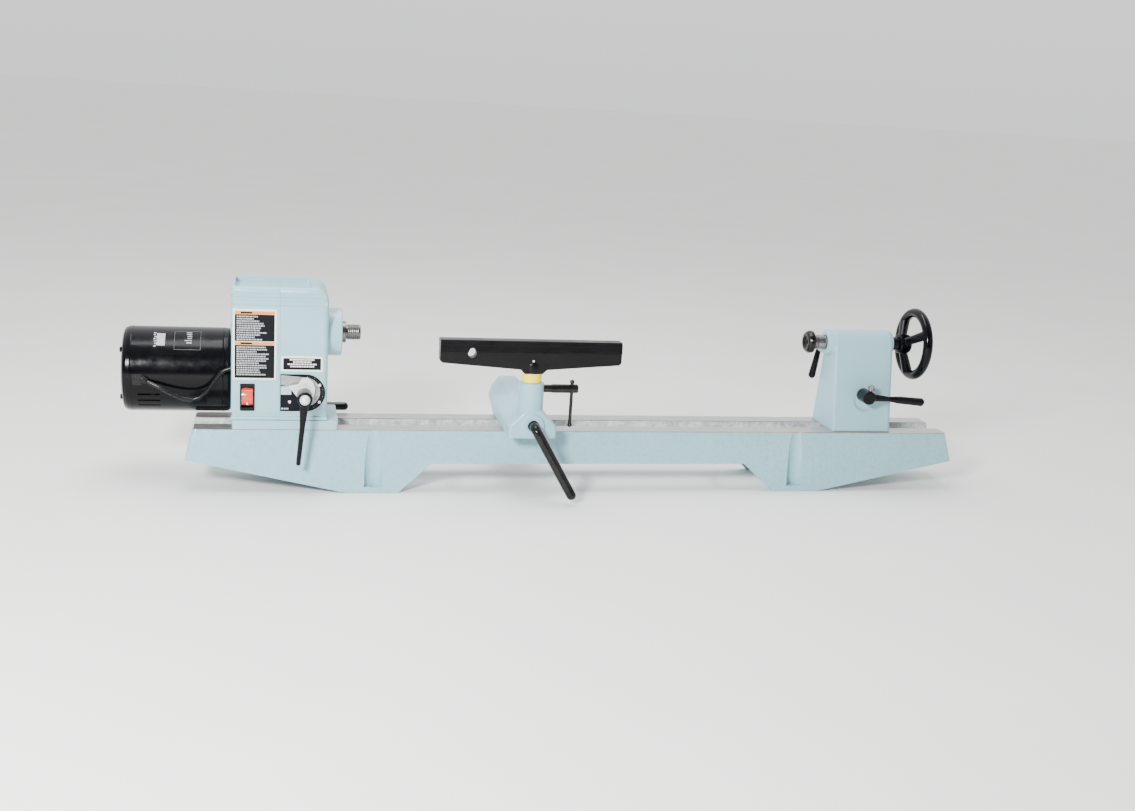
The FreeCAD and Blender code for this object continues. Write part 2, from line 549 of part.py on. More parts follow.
def make_banjo():
    """House-shaped bar that lies across the ways, with the socket for the rest's post at its front."""
    z0, z_side, z_ridge = WAY_Z + SLIDE_GAP, 124.0, 150.0
    y_front, y_back = -106.0, 160.0
    half, top_half = 40.0, 14.0
    outline = [(CAM_X - half, y_front, z0), (CAM_X - half, y_front, z_side), (CAM_X - top_half, y_front, z_ridge),
               (CAM_X + top_half, y_front, z_ridge), (CAM_X + half, y_front, z_side), (CAM_X + half, y_front, z0)]
    body = prism(outline, (0, y_back - y_front, 0))
    body = body.makeFillet(9, pick(body, lambda e, m: along(e, "y") and m.z > 120))
    plan = [(CAM_X - 41, y_front), (CAM_X - 41, 118), (CAM_X - 29, y_back - 8), (CAM_X - 18, y_back),
            (CAM_X + 18, y_back), (CAM_X + 29, y_back - 8), (CAM_X + 41, 118), (CAM_X + 41, y_front)]
    body = body.common(prism([(x, y, 90) for x, y in plan], (0, 0, 100)))
    body = body.makeFillet(5, pick(body, lambda e, m: along(e, "z") and m.y < y_front + 1))
    post = rod((BANJO_X, BANJO_Y, z_side), (BANJO_X, BANJO_Y, SOCKET_TOP), 21)
    post = post.makeFillet(3, pick(post, lambda e, m: m.z > SOCKET_TOP - 0.1))
    ear = ring((CAM_X, y_front - 5, CAM_Z), (CAM_X, y_front + 2, CAM_Z), 18, 6)
    banjo = join(body, post, ear)
    # hollow underside, so only the rails and the front bear on the ways
    banjo = banjo.cut(box(CAM_X - 22, CAM_X + 22, -66, y_back - 14, z0 - 1, CAM_Z + 16))
    # the rails rise behind the bed
    for x in (CAM_X - 45, CAM_X + 22):
        rise = [(x, 58, z0 - 1), (x, 58, z0), (x, 120, z_side),
                (x, y_back + 1, z_side + 7), (x, y_back + 1, z0 - 1)]
        banjo = banjo.cut(prism(rise, (23, 0, 0)))
    banjo = banjo.cut(rod((CAM_X, y_front - 20, CAM_Z), (CAM_X, -60, CAM_Z), CAM_BORE + RUN))
    banjo = banjo.cut(rod((CAM_X, y_back - 20, CAM_Z), (CAM_X, y_back - 8, CAM_Z), CAM_BORE + RUN))
    banjo = banjo.cut(rod((BANJO_X, BANJO_Y, 137), (BANJO_X, BANJO_Y, SOCKET_TOP + 1), POST_R + RUN))
    banjo = banjo.cut(rod((BANJO_X, BANJO_Y, 184), (BANJO_X + 30, BANJO_Y, 184), 6.5))
    save("banjo", banjo)


CAM_TIP = (-51.0, -143.0, 17.0)


def make_cam_lever():
    """Straight shaft through the banjo, bent outside it into a handle that leans down and right."""
    shaft_end = Vec(CAM_X, -111.5, CAM_Z)
    back = Vec(CAM_X, 150, CAM_Z)
    corner = Vec(CAM_X, -128, CAM_Z)
    tip = Vec(*CAM_TIP)
    handle_dir = (tip - corner).normalize()
    trim = 11.0
    a = corner + Vec(0, trim, 0)
    b = corner + handle_dir * trim
    bisector = (Vec(0, 1, 0) + handle_dir).normalize()
    turn = math.pi - Vec(0, 1, 0).getAngle(handle_dir)
    radius = trim / math.tan(turn / 2)
    middle = corner + bisector * (radius / math.cos(turn / 2) - radius)
    handle_r = 8.0
    path = Part.Wire([
        Part.LineSegment(back, a).toShape(),
        Part.Arc(a, middle, b).toShape(),
        Part.LineSegment(b, tip).toShape()])
    circle = Part.Wire([Part.Circle(back, Vec(0, 1, 0), handle_r).toShape()])
    lever = path.makePipeShell([circle], True, False)
    lever = join(lever, ball(CAM_TIP, handle_r))
    sleeve = rod((CAM_X, -100, CAM_Z), tuple(shaft_end), CAM_BORE)
    journal = rod((CAM_X, 141, CAM_Z), (CAM_X, 151, CAM_Z), CAM_BORE)
    save("rest_cam_lever", join(lever, sleeve, journal))


def make_post_clamp():
    y, z = BANJO_Y, 184.0
    x_post = BANJO_X + POST_R + 0.3
    screw = join(rod((x_post, y, z), (-82, y, z), 6.45), rod((-82, y, z), (-38, y, z), 7.3))
    head = pick(screw, lambda e, m: m.x > -38.1)
    screw = screw.makeFillet(1.5, head)
    screw = screw.cut(rod((-48, y, z - 20), (-48, y, z + 20), 2.75 + RUN))
    save("post_clamp_screw", screw)
    bar = join(rod((-48, y, 123), (-48, y, 194), 2.75), ball((-48, y, 122), 3.9), ball((-48, y, 195.5), 3.9))
    save("post_clamp_bar", bar)


def make_tool_rest():
    x, y = BANJO_X, BANJO_Y
    collar = ring((x, y, SOCKET_TOP + 0.3), (x, y, 211), 16, POST_R + RUN)
    collar = collar.cut(rod((x, y, 203), (x, y + 20, 203), 2.5))
    save("height_collar", collar)
    save("collar_set_screw", rod((x, y + POST_R + 0.4, 203), (x, y + 15.5, 203), 2.5))
    post = rod((x, y, 140), (x, y, 224), POST_R)
    save("tool_rest_post", post.makeChamfer(1.5, pick(post, lambda e, m: m.z < 141)))
    x0, x1, z_top = -271.0, 30.0, 265.0
    outline = [(x0, 255), (x0, 231), (x0 + 4, 227.5), (x - 22, 218), (x - 17.5, 214), (x - 15, 211.2),
               (x + 15, 211.2), (x + 17.5, 214), (x + 22, 218), (x1 - 4, 227.5), (x1, 231), (x1, 255)]
    blade_y0, blade_y1 = y - 14.5, y + 4.0
    blade = prism([(px, blade_y0, pz) for px, pz in outline], (0, blade_y1 - blade_y0, 0))
    # wider top bar that carries the tool, with an almost upright front
    crown = [(x0, y - 16.5, 247.5), (x0, y - 15, 262), (x0, y - 12.5, z_top), (x0, y + 8, z_top),
             (x0, y + 10, 262), (x0, y + 4, 246), (x0, y - 14.5, 245.5)]
    crown = prism(crown, (x1 - x0, 0, 0))
    neck = join(rod((x, y, 211.2), (x, y, 226), 16.5), cone((x, y, 226), (x, y, 243), 16.5, 9))
    rest = join(blade, crown, neck)
    rest = rest.cut(rod((x, y, 200), (x, y, 224.1), POST_R + 0.02))
    egg_hole = join(rod((-219, y - 30, 243), (-219, y + 30, 243), 7),
                    rod((-219, y - 30, 247), (-219, y + 30, 247), 5.6))
    rest = rest.cut(egg_hole)
    for groove_z in (252.8, 256.8):
        rest = rest.cut(box(x0 - 1, x1 + 1, y - 20, y - 14.9, groove_z, groove_z + 1.2))
    save("tool_rest", rest)


# ---- tailstock ----------------------------------------------------------------------------
QUILL_R = 12.7
BOSS_X = 428.0


def make_tailstock():
    z0 = WAY_Z + SLIDE_GAP
    half_foot, foot_z = 49.0, z0 + 6
    # the sides lean in and run smoothly into the round top, which is centred on the spindle axis
    foot_drop = foot_z - AXIS_Z
    lean = math.atan2(foot_drop, half_foot) + math.acos(TAIL_R / math.hypot(half_foot, foot_drop))
    meet_y, meet_z = TAIL_R * math.cos(lean), AXIS_Z + TAIL_R * math.sin(lean)
    sides = [Vec(TAIL_X0, y, z) for y, z in ((-meet_y, meet_z), (-half_foot, foot_z), (-half_foot, z0),
                                             (half_foot, z0), (half_foot, foot_z), (meet_y, meet_z))]
    edges = [Part.LineSegment(a, b).toShape() for a, b in zip(sides, sides[1:])]
    edges.append(Part.Arc(sides[-1], Vec(TAIL_X0, 0, AXIS_Z + TAIL_R), sides[0]).toShape())
    body = Part.Face(Part.Wire(edges)).extrude(Vec(TAIL_X1 - TAIL_X0, 0, 0))
    body = body.makeFillet(4, pick(body, lambda e, m: m.x < TAIL_X0 + 0.1 and m.z > 120))
    body = body.makeFillet(8, pick(body, lambda e, m: m.x > TAIL_X1 - 0.1 and m.z > 120))
    boss = cone((BOSS_X, 0, AXIS_Z), (TAIL_X0 + 6, 0, AXIS_Z), 21.5, 23.9)
    boss = boss.makeFillet(2, pick(boss, lambda e, m: m.x < BOSS_X + 0.1))
    lock_boss = join(rod((BOSS_X + 10, 0, 240), (BOSS_X + 10, 34, 240), 9), box(438, 446, -8, 8, 236, 250))
    hub = rod((TAIL_X1 - 3, 0, AXIS_Z), (TAIL_X1 + 1.5, 0, AXIS_Z), 21)
    tenon = box(TAIL_X0 + 12, TAIL_X1 - 12, -SLOT_Y + GAP, SLOT_Y - GAP, 92, z0 + 1)
    body = join(body, boss, hub, tenon, lock_boss)
    body = body.cut(box(TAIL_X0 + 10, TAIL_X1 - 10, -33, 33, 91, 152))
    body = body.cut(rod((BOSS_X - 1, 0, AXIS_Z), (TAIL_X1 - 8, 0, AXIS_Z), QUILL_R + RUN))
    body = body.cut(rod((TAIL_X1 - 10, 0, AXIS_Z), (TAIL_X1 + 2, 0, AXIS_Z), 8 + RUN))
    body = body.cut(rod((TAIL_LOCK_X, -60, TAIL_LOCK_Z), (TAIL_LOCK_X, -30, TAIL_LOCK_Z), 8 + RUN))
    spot_x, spot_z = TAIL_LOCK_X + 6, TAIL_LOCK_Z - 10
    body = body.cut(rod((spot_x, -58, spot_z), (spot_x, -39, spot_z), 20))
    body = body.cut(rod((TAIL_LOCK_X, -31, TAIL_LOCK_Z), (TAIL_LOCK_X, 26, TAIL_LOCK_Z), 8 + RUN))
    body = body.cut(box(TAIL_LOCK_X - 15, TAIL_LOCK_X + 15, -12, 12, 150, TAIL_LOCK_Z + 15))
    body = body.cut(rod((BOSS_X + 10, 12, 240), (BOSS_X + 10, 35, 240), 5 + RUN))
    save("tailstock", body)
    eye = ring((TAIL_LOCK_X, -8, TAIL_LOCK_Z), (TAIL_LOCK_X, 8, TAIL_LOCK_Z), 12, 8 + RUN)
    stem = rod((TAIL_LOCK_X, 0, 62), (TAIL_LOCK_X, 0, TAIL_LOCK_Z - 10), 6)
    eye = join(eye, stem).cut(rod((TAIL_LOCK_X, -9, TAIL_LOCK_Z), (TAIL_LOCK_X, 9, TAIL_LOCK_Z), 8 + RUN))
    plate = box(TAIL_LOCK_X - 36, TAIL_LOCK_X + 36, -40, 40, 71, WAY_Z - WAY_THICK - GAP)
    save("tail_clamp_plate", plate.cut(rod((TAIL_LOCK_X, 0, 60), (TAIL_LOCK_X, 0, 90), 6.02)))
    nut = hexagon((TAIL_LOCK_X, 0, 60), (TAIL_LOCK_X, 0, 71), 19)
    save("tail_clamp_bolt", eye, nut.cut(rod((TAIL_LOCK_X, 0, 61.9), (TAIL_LOCK_X, 0, 72), 6.02)))


def make_tail_lock():
    x, z = TAIL_LOCK_X, TAIL_LOCK_Z
    shaft = rod((x, -62, z), (x, 25, z), 8)
    save("tail_lock_shaft", shaft)
    hub = rod((x, -73, z), (x, -42, z), 12)
    hub = hub.makeChamfer(1.5, pick(hub, lambda e, m: m.y < -72))
    y = -62.0
    profile = ((6, 0), (6, 7), (42, 4.5), (60, 6.5), (105, 7.3), (109, 4), (109, 0))
    outline = Part.makePolygon([Vec(x + along, y, z + r) for along, r in profile + profile[:1]])
    arm = Part.Face(outline).revolve(Vec(x, y, z), Vec(1, 0, 0), 360)
    arm.rotate(Vec(x, y, z), Vec(0, 1, 0), TAIL_LOCK_DROP)
    lever = join(hub, arm).cut(rod((x, -62.05, z), (x, -40, z), 8.02))
    save("tail_lock_lever", lever)
    # clamp bolt in the hub, leaning towards the handle

    def out(distance):
        return (x + 0.35 * distance, y, z + 0.937 * distance)

    bolt = join(rod(out(10), out(15), 4), hexagon(out(14.5), out(20), 11), rod(out(19.5), out(23), 3))
    save("tail_lock_bolt", bolt.cut(hub))


def make_quill():
    z = AXIS_Z
    quill = rod((412, 0, z), (538, 0, z), QUILL_R)
    quill = quill.makeChamfer(1, pick(quill, lambda e, m: m.x < 413))
    quill = quill.cut(cone((411.9, 0, z), (476, 0, z), 8.9, 7.27))
    quill = quill.cut(rod((470, 0, z), (539, 0, z), 6.4 + GAP))
    save("quill", quill)
    arbor = join(cone((408.5, 0, z), (474, 0, z), 8.95, 7.25), rod((406, 0, z), (411.8, 0, z), 12))
    head_in = rod((400, 0, z), (407, 0, z), 3)
    arbor = arbor.common(join(cone((412, 0, z), (476, 0, z), 8.88, 7.25), rod((400, 0, z), (412, 0, z), 20)))
    save("centre_arbor", join(arbor, head_in).cut(rod((474, 0, z), (480, 0, z), 7)))
    profile = [(405.6, 3.3), (405.6, 15), (403.5, 19.6), (397.5, 20), (394, 18), (391.5, 15.5), (391.5, 12),
               (394.5, 8.5), (394.5, 5), (390.6, 0.0), (399.7, 0.0), (399.7, 3.3)]
    save("live_centre_head", turned(profile, 0, z))


def make_handwheel():
    z = AXIS_Z
    rim_r, tube_r = 56.0, 8.5
    rim = Part.makeTorus(rim_r, tube_r, Vec(WHEEL_X, 0, z), Vec(1, 0, 0))
    hub = rod((568, 0, z), (590, 0, z), 17)
    hub = hub.makeFillet(2, pick(hub, lambda e, m: m.x > 589))
    parts = [rim, hub]
    for turn in (62, -50, 190):
        angle = math.radians(turn)
        direction = Vec(0, -math.sin(angle), math.cos(angle))
        start = Vec(580, 0, z) + direction * 9
        end = Vec(WHEEL_X - 1, 0, z) + direction * (rim_r - 2)
        parts.append(cone(tuple(start), tuple(end), 7.0, 9.0))
    wheel = join(*parts).cut(rod((550, 0, z), (583, 0, z), 8.02))
    save("handwheel", wheel)
    save("lead_screw", join(rod((479, 0, z), (540, 0, z), 6.4), rod((539, 0, z), (583, 0, z), 8)))
    thrust = ring((TAIL_X1 + 1.8, 0, z), (567.9, 0, z), 12, 8.02)
    save("handwheel_collar", thrust)


def make_quill_lock():
    x, z = BOSS_X + 10, 240.0
    stud = rod((x, 14, z), (x, 44, z), 5)
    save("quill_lock_stud", stud)
    hub = rod((x, 35, z), (x, 51, z), 9)
    hub = hub.makeChamfer(1.5, pick(hub, lambda e, m: m.y > 50))
    tip = (x - 9, 43, 186)
    arm = join(cone((x - 1, 43, z - 5), tip, 4.6, 6.4), ball(tip, 6.4))
    save("quill_lock_lever", join(hub, arm).cut(rod((x, 20, z), (x, 44.05, z), 5.02)))


make_bed()
make_headstock_base()
make_headstock_lock_rod()
make_headstock()
make_labels()
make_switch()
make_belt_drive()
make_motor()
make_cable()
make_speed_lever()
make_rest_clamp()
make_banjo()
make_cam_lever()
make_post_clamp()
make_tool_rest()
make_tailstock()
make_tail_lock()
make_quill()
make_handwheel()
make_quill_lock()
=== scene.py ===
import bpy
import bmesh
import math
import random
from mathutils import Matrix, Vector


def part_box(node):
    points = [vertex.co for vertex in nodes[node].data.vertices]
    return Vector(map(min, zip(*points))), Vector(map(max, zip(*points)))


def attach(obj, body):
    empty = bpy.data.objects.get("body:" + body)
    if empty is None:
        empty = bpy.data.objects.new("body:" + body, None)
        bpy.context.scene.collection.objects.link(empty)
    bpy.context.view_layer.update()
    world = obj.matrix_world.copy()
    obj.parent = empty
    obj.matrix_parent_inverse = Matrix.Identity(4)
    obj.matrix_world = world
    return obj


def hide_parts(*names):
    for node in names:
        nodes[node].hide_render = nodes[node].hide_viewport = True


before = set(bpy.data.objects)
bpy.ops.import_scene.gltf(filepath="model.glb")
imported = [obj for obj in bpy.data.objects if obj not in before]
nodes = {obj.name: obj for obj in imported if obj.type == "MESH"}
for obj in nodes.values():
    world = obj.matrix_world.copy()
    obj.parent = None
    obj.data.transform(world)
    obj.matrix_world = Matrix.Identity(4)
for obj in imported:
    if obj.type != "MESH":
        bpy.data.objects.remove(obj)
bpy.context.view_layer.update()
MM = 0.001

# ---- heights read from the frame, in metres ----------------------------------------------------
WAY_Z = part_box("bed")[1].z
SPINDLE_LOW, SPINDLE_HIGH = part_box("spindle")
AXIS_Z = (SPINDLE_LOW.z + SPINDLE_HIGH.z) / 2


# ---- camera and light -------------------------------------------------------------------------
SENSOR_MM, LENS_MM = 36.0, 42.83
CAMERA_PLACE = (-0.5422, -2.2129, 0.6826)
CAMERA_TURN = (76.392, -3.550, -12.075)     # degrees about X, Y and Z


def make_camera():
    data = bpy.data.cameras.new("camera")
    data.sensor_width = SENSOR_MM
    data.lens = LENS_MM
    camera = bpy.data.objects.new("camera", data)
    camera.location = CAMERA_PLACE
    camera.rotation_euler = [math.radians(a) for a in CAMERA_TURN]
    bpy.context.scene.collection.objects.link(camera)
    bpy.context.scene.camera = camera


def area_light(name, place, target, size, power):
    data = bpy.data.lights.new(name, "AREA")
    data.shape = "RECTANGLE"
    data.size, data.size_y = size
    data.energy = power
    light = bpy.data.objects.new(name, data)
    light.location = place
    aim = Vector(target) - Vector(place)
    light.rotation_euler = aim.to_track_quat("-Z", "Y").to_euler()
    bpy.context.scene.collection.objects.link(light)


WORLD_FRONT, WORLD_BACK = 0.16, 1.8      # strength on the operator's side and behind the lathe
WORLD_LOW, WORLD_HIGH = 0.62, 1.2       # share of it at the horizon and overhead
WORLD_TINT = (0.98, 0.985, 1.0, 1)
FLOOR_HALF = 30.0
FLOOR_Z = -0.0005                       # just under the feet


def make_world():
    """Soft room light: bright behind the lathe and overhead, dim on the operator's side."""
    world = bpy.data.worlds.new("studio")
    world.use_nodes = True
    tree = world.node_tree
    background = tree.nodes["Background"]
    background.inputs["Color"].default_value = WORLD_TINT
    coords = tree.nodes.new("ShaderNodeTexCoord")
    split = tree.nodes.new("ShaderNodeSeparateXYZ")
    tree.links.new(coords.outputs["Generated"], split.inputs["Vector"])
    shares = []
    slopes = (("Y", -0.7, 0.5, WORLD_FRONT, WORLD_BACK), ("Z", 0.0, 0.7, WORLD_LOW, WORLD_HIGH))
    for axis, low, high, dim, bright in slopes:
        ramp = tree.nodes.new("ShaderNodeMapRange")
        for socket, number in (("From Min", low), ("From Max", high), ("To Min", dim), ("To Max", bright)):
            ramp.inputs[socket].default_value = number
        tree.links.new(split.outputs[axis], ramp.inputs["Value"])
        shares.append(ramp.outputs["Result"])
    product = tree.nodes.new("ShaderNodeMath")
    product.operation = "MULTIPLY"
    for socket, share in zip(product.inputs, shares):
        tree.links.new(share, socket)
    tree.links.new(product.outputs["Value"], background.inputs["Strength"])
    bpy.context.scene.world = world


def make_studio():
    area_light("key", (-1.3, -1.9, 1.15), (-0.5, 0, 0.15), (0.4, 0.35), 105)
    area_light("top", (-0.3, 0.2, 2.4), (0, 0, 0), (1.8, 0.8), 46)
    area_light("fill", (1.9, -2.0, 1.0), (0.3, 0, 0.15), (1.0, 1.0), 4)
    make_world()
    mesh = bpy.data.meshes.new("floor")
    half = FLOOR_HALF
    corners = [(-half, -half, 0), (half, -half, 0), (half, half, 0), (-half, half, 0)]
    mesh.from_pydata(corners, [], [(0, 1, 2, 3)])
    floor = bpy.data.objects.new("floor", mesh)
    floor.location.z = FLOOR_Z
    bpy.context.scene.collection.objects.link(floor)
    look = Look("floor_paper", srgb(238, 237, 234), rough=0.85)
    look.tint(look.noise(3.0, 2), 0.98, 1.02)
    floor.data.materials.append(look.mat)


# ---- materials ----------------------------------------------------------------------------------
def srgb(r, g, b):
    """Linear colour from 0-255 display values."""
    def linear(c):
        c = c / 255
        return c / 12.92 if c <= 0.04045 else ((c + 0.055) / 1.055) ** 2.4
    return (linear(r), linear(g), linear(b), 1.0)


class Look:
    """One procedural material, in the row's own coordinates (metres)."""

    def __init__(self, name, colour, rough=0.4, metal=0.0, coat=0.0, coat_rough=0.1, specular=0.5):
        self.mat = bpy.data.materials.new(name)
        self.mat.use_nodes = True
        self.tree = self.mat.node_tree
        self.shader = self.tree.nodes["Principled BSDF"]
        self.colour = colour
        self.shader.inputs["Base Color"].default_value = colour
        self.shader.inputs["Roughness"].default_value = rough
        self.shader.inputs["Metallic"].default_value = metal
        self.shader.inputs["Coat Weight"].default_value = coat
        self.shader.inputs["Coat Roughness"].default_value = coat_rough
        self.shader.inputs["Specular IOR Level"].default_value = specular
        self.coords = self.tree.nodes.new("ShaderNodeTexCoord").outputs["Object"]
        self.mat.diffuse_color = colour

    def node(self, kind, **settings):
        made = self.tree.nodes.new(kind)
        for key, value in settings.items():
            setattr(made, key, value)
        return made

    def link(self, out, into):
        self.tree.links.new(out, into)

    def stretched(self, scale):
        mapping = self.node("ShaderNodeMapping")
        mapping.inputs["Scale"].default_value = scale
        self.link(self.coords, mapping.inputs["Vector"])
        return mapping.outputs["Vector"]

    def noise(self, scale, detail=4.0, stretch=None, rough=0.55):
        made = self.node("ShaderNodeTexNoise")
        made.inputs["Scale"].default_value = scale
        made.inputs["Detail"].default_value = detail
        made.inputs["Roughness"].default_value = rough
        self.link(self.coords if stretch is None else self.stretched(stretch), made.inputs["Vector"])
        return made.outputs["Fac"]

    def spread(self, value, low, high, from_low=0.3, from_high=0.7):
        made = self.node("ShaderNodeMapRange")
        limits = (("From Min", from_low), ("From Max", from_high), ("To Min", low), ("To Max", high))
        for socket, number in limits:
            made.inputs[socket].default_value = number
        self.link(value, made.inputs["Value"])
        return made.outputs["Result"]

    def maths(self, operation, a, b=None):
        made = self.node("ShaderNodeMath", operation=operation)
        for socket, value in zip(made.inputs, (a, b)):
            if value is None:
                continue
            if isinstance(value, (int, float)):
                socket.default_value = value
            else:
                self.link(value, socket)
        return made.outputs["Value"]

    def axis(self, name):
        made = self.node("ShaderNodeSeparateXYZ")
        self.link(self.coords, made.inputs["Vector"])
        return made.outputs[name]

    def mix(self, factor, a, b):
        """Colour between a and b; each is a colour or a socket."""
        made = self.node("ShaderNodeMix", data_type="RGBA")
        self.link(factor, made.inputs["Factor"])
        for socket, value in ((made.inputs[6], a), (made.inputs[7], b)):
            if isinstance(value, tuple):
                socket.default_value = value
            else:
                self.link(value, socket)
        return made.outputs[2]

    def tint(self, factor, low, high):
        """Base colour goes from low to high times itself as factor goes from dark to light."""
        dark = tuple(c * low for c in self.colour[:3]) + (1.0,)
        light = tuple(min(1.0, c * high) for c in self.colour[:3]) + (1.0,)
        out = self.mix(self.spread(factor, 0, 1), dark, light)
        self.link(out, self.shader.inputs["Base Color"])
        return out

    def bump(self, *layers):
        """Each layer is (height socket, distance in mm)."""
        normal = None
        for height, distance in layers:
            made = self.node("ShaderNodeBump")
            made.inputs["Strength"].default_value = 1.0
            made.inputs["Distance"].default_value = distance * MM
            self.link(height, made.inputs["Height"])
            if normal is not None:
                self.link(normal, made.inputs["Normal"])
            normal = made.outputs["Normal"]
        self.link(normal, self.shader.inputs["Normal"])

    def roughness(self, factor, low, high):
        self.link(self.spread(factor, low, high), self.shader.inputs["Roughness"])


PAINT = srgb(147, 190, 200)
WAY_SKIN = 0.0012          # the ground finish of the ways ends this far below their top
SLOT_WALL_Y = 0.0217       # bare iron inside the slot, this far from the middle plane
SLOT_WALL_DEPTH = 0.0186   # and this far below the top of the ways


def casting_paint(name, lumps=0.25, grit=0.05, mottle=0.2, ways=False):
    """Blue-grey enamel on cast iron: orange peel, casting waves, and bare ways where asked."""
    look = Look(name, PAINT, rough=0.36, coat=0.25, coat_rough=0.22)
    patches = look.noise(9.0, 5)
    specks = look.noise(150.0, 5, rough=0.7)
    grain = look.noise(300.0, 3)
    waves = look.noise(95.0, 4)
    colour = look.tint(patches, 0.95, 1.04)
    colour = look.mix(look.spread(specks, mottle, 0, 0.3, 0.52), colour, srgb(112, 156, 168))
    rough = look.spread(look.noise(60.0, 4), 0.3, 0.46)
    if ways:
        streaks = look.noise(1.0, 6, stretch=(14.0, 300.0, 300.0))
        blotch = look.noise(75.0, 7, rough=0.75)
        stain = look.noise(22.0, 6, rough=0.7)
        iron = look.mix(look.spread(blotch, 0, 1, 0.36, 0.62), srgb(160, 162, 163), srgb(226, 227, 226))
        ground = look.mix(look.spread(streaks, 0, 1), srgb(150, 149, 146), srgb(190, 189, 186))
        ground = look.mix(look.spread(stain, 0, 0.5, 0.55, 0.78), ground, srgb(140, 124, 102))
        top = look.maths("GREATER_THAN", look.axis("Z"), WAY_Z - WAY_SKIN)
        inner = look.maths("LESS_THAN", look.maths("ABSOLUTE", look.axis("Y")), SLOT_WALL_Y)
        deep = look.maths("GREATER_THAN", look.axis("Z"), WAY_Z - SLOT_WALL_DEPTH)
        bare = look.maths("MAXIMUM", top, look.maths("MULTIPLY", inner, deep))
        colour = look.mix(bare, colour, look.mix(top, iron, ground))
        look.link(colour, look.shader.inputs["Base Color"])
        look.link(look.maths("MULTIPLY", top, 0.65), look.shader.inputs["Metallic"])
        spread = look.node("ShaderNodeMix", data_type="FLOAT")
        look.link(bare, spread.inputs["Factor"])
        look.link(rough, spread.inputs["A"])
        look.link(look.spread(streaks, 0.24, 0.4), spread.inputs["B"])
        rough = spread.outputs["Result"]
    look.link(rough, look.shader.inputs["Roughness"])
    look.bump((waves, lumps), (grain, grit))
    return look.mat


def gloss_black(name, rough=0.16, shade=7, peel=0.05):
    look = Look(name, srgb(shade, shade, shade + 3), rough=rough, specular=0.16)
    look.tint(look.noise(30.0, 4), 0.75, 1.3)
    look.roughness(look.noise(80.0, 5), rough * 0.8, rough * 1.5)
    look.bump((look.noise(260.0, 2), peel))
    return look.mat


def satin_black(name):
    look = Look(name, srgb(9, 9, 11), rough=0.3, specular=0.2)
    look.tint(look.noise(45.0, 6), 0.7, 1.4)
    look.roughness(look.noise(35.0, 5), 0.24, 0.4)
    look.bump((look.noise(70.0, 5), 0.22), (look.noise(520.0, 2), 0.05))
    return look.mat


TURNING_LINES = (900.0, 30.0, 30.0)     # noise scales: fine along X, long around it


def turned_steel(name, light, rough=0.28, brown=0.25):
    """Bare metal with fine turning lines and a little brown staining."""
    look = Look(name, srgb(light, light, light - 3), rough=rough, metal=1.0)
    lines = look.noise(1.0, 4, stretch=TURNING_LINES)
    stain = look.noise(140.0, 5, rough=0.7)
    valley = srgb(light - 26, light - 26, light - 28)
    ridge = srgb(light + 16, light + 16, light + 14)
    colour = look.mix(look.spread(lines, 0, 1), valley, ridge)
    colour = look.mix(look.spread(stain, 0, brown, 0.5, 0.75), colour, srgb(112, 96, 74))
    look.link(colour, look.shader.inputs["Base Color"])
    look.roughness(lines, rough * 0.8, rough * 1.5)
    look.bump((lines, 0.012))
    return look.mat


def dark_steel(name):
    """Oil-blacked steel with a faint wear pattern."""
    shade, rough = 30, 0.17
    look = Look(name, srgb(shade, shade, shade + 1), rough=rough, metal=0.6, specular=0.5)
    wear = look.noise(60.0, 4, rough=0.6)
    colour = look.mix(look.spread(wear, 0, 1, 0.35, 0.7), srgb(shade - 9, shade - 9, shade - 9),
                      srgb(shade + 13, shade + 12, shade + 11))
    look.link(colour, look.shader.inputs["Base Color"])
    look.roughness(look.noise(120.0, 4), rough * 0.8, rough * 1.4)
    look.bump((look.noise(300.0, 3), 0.02))
    return look.mat


def plain(name, colour, rough=0.45, metal=0.0, speck=60.0, vary=0.1, bump=0.02, coat=0.0, specular=0.5):
    look = Look(name, colour, rough=rough, metal=metal, coat=coat, specular=specular)
    look.tint(look.noise(speck, 4), 1 - vary, 1 + vary)
    look.roughness(look.noise(speck * 2, 3), rough * 0.8, min(1.0, rough * 1.25))
    look.bump((look.noise(speck * 6, 2), bump))
    return look.mat


# ---- mesh helpers -------------------------------------------------------------------------------
SHARP_ANGLE = math.radians(32)


def mesh_piece(name, verts, faces, body, material, smooth=True):
    mesh = bpy.data.meshes.new(name)
    mesh.from_pydata([tuple(v) for v in verts], [], faces)
    tidy = bmesh.new()
    tidy.from_mesh(mesh)
    bmesh.ops.recalc_face_normals(tidy, faces=tidy.faces)
    tidy.to_mesh(mesh)
    tidy.free()
    piece = bpy.data.objects.new(name, mesh)
    bpy.context.scene.collection.objects.link(piece)
    mesh.materials.append(material)
    if smooth:
        mesh.shade_smooth()
        mesh.set_sharp_from_angle(angle=SHARP_ANGLE)
    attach(piece, body)
    return piece


def box_mesh(boxes):
    """Vertices and faces of several axis-aligned boxes, each ((x0, y0, z0), (x1, y1, z1))."""
    verts, faces = [], []
    for low, high in boxes:
        base = len(verts)
        for x in (low[0], high[0]):
            for y in (low[1], high[1]):
                for z in (low[2], high[2]):
                    verts.append((x, y, z))
        for quad in ((0, 1, 3, 2), (4, 6, 7, 5), (0, 4, 5, 1), (2, 3, 7, 6), (0, 2, 6, 4), (1, 5, 7, 3)):
            faces.append(tuple(base + i for i in quad))
    return verts, faces


def bars(name, boxes, body, material):
    verts, faces = box_mesh(boxes)
    mesh_piece(name, verts, faces, body, material, smooth=False)


